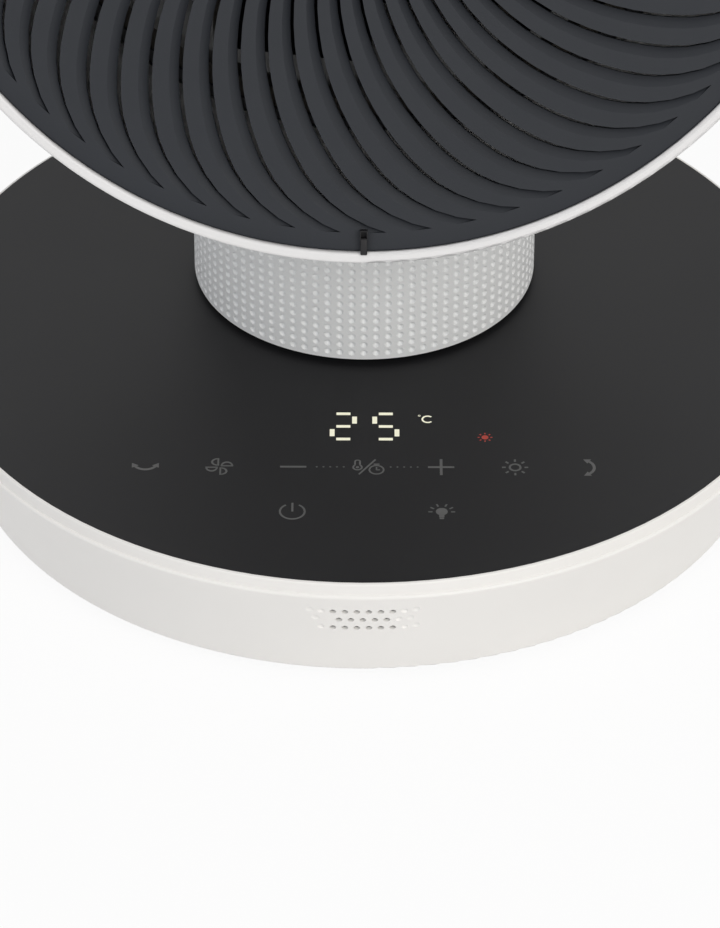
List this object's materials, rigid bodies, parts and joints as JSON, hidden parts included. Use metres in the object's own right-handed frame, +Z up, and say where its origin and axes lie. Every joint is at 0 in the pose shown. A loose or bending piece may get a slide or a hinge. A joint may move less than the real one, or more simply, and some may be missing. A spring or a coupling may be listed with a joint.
{
  "type": "air circulator fan",
  "caption": "Table air circulator with heater: round black touch-panel base, swivelling dimpled neck, yoke and tilting round head with a swirl grille.",
  "frame": {"origin": "centre of the round base, on the table under its feet", "axes": "+Z up, the touch panel's front edge and the grille face -Y, +X is to the right seen from the front"},
  "size_m": [0.2764, 0.2632, 0.3806],
  "materials": {
    "white_shell": "satin moulded white",
    "white_neck": "satin moulded white with round dimples",
    "black_panel": "satin black with printed grey key symbols",
    "dark_grille": "fine matt dark grey",
    "black_trim": "matt black",
    "dark_plastic": "matt black moulding",
    "heat_plastic": "matt heat-proof moulding",
    "circuit_board": "green solder mask",
    "display": "dark lens with lit digits",
    "component_black": "matt component cases",
    "component_yellow": "transformer tape",
    "rubber_black": "matt",
    "steel": "plain steel",
    "zinc_screw": "zinc plated",
    "aluminium_fins": "bare fins",
    "motor_metal": "lacquered motor metal",
    "copper_winding": "enamelled winding",
    "acetal": "natural acetal"
  },
  "bodies": {
    "base": {"base_tray": "white_shell", "panel_frame": "white_shell", "touch_panel": "black_panel", "base_weight": "steel", "rubber_feet": "rubber_black", "base_screws": "zinc_screw", "touch_board": "circuit_board", "board_screws": "zinc_screw", "touch_springs": "zinc_screw", "display_module": "display", "power_board": "circuit_board", "power_transformer": "component_yellow", "heater_relay": "component_black", "power_capacitors": "component_black", "cord_gland": "rubber_black", "room_sensor": "circuit_board", "tip_switch": "component_black", "swivel_seat": "acetal", "swivel_seat_screws": "zinc_screw", "thrust_washer": "acetal", "yaw_motor": "motor_metal", "yaw_motor_screws": "zinc_screw"},
    "tip_plunger": {"tip_plunger": "acetal"},
    "yaw_pinion": {"yaw_pinion": "acetal"},
    "neck": {"yaw_gear": "acetal", "swivel_spindle": "dark_plastic", "swivel_retainer": "steel", "neck_sleeve": "white_neck", "neck_screws": "zinc_screw", "neck_cap": "white_shell", "yoke": "white_shell", "yoke_base_screws": "zinc_screw", "yoke_cover": "white_shell", "yoke_screws": "zinc_screw", "tilt_motor": "motor_metal", "pivot_bush": "acetal", "left_pod_cap": "white_shell", "right_pod_cap": "white_shell"},
    "head": {"front_ring": "white_shell", "front_grille": "dark_grille", "grille_latch": "black_trim", "front_shell": "white_shell", "rear_shell": "white_shell", "shell_screws": "zinc_screw", "rear_grille": "dark_grille", "left_trunnion": "steel", "right_trunnion": "steel", "duct_ring": "dark_plastic", "heater_frame": "heat_plastic", "heater_bars": "aluminium_fins", "thermal_cutout": "component_black", "motor_bracket": "dark_plastic", "motor_can": "motor_metal", "motor_stator": "copper_winding", "motor_bearings": "steel"},
    "fan": {"impeller": "dark_plastic", "impeller_nut": "dark_plastic", "motor_shaft": "steel", "motor_rotor": "motor_metal"}
  },
  "joints": [
    {"name": "neck_yaw", "type": "hinge", "parent": "base", "child": "neck", "pos_m": [0, 0.0266, 0.042], "axis": [0, 0, 1], "range_deg": [-45, 45]},
    {"name": "pinion_spin", "type": "hinge", "parent": "base", "child": "yaw_pinion", "pos_m": [0.048, 0.0266, 0.026], "axis": [0, 0, 1], "range_deg": [-140, 140]},
    {"name": "head_tilt", "type": "hinge", "parent": "neck", "child": "head", "pos_m": [0, 0.0266, 0.227], "axis": [-1, 0, 0], "range_deg": [-20, 70]},
    {"name": "fan_spin", "type": "hinge", "parent": "head", "child": "fan", "pos_m": [0, 0.0266, 0.227], "axis": [0, -0.9397, 0.342], "continuous": true},
    {"name": "tip_plunger_slide", "type": "slide", "parent": "base", "child": "tip_plunger", "axis": [0, 0, -1], "range_m": [0, 0.0025], "stiffness_N_per_m": 200, "springref_m": 0.004}
  ],
  "couplings": [
    {"joint": "pinion_spin", "follows": "neck_yaw", "ratio": -3}
  ]
}
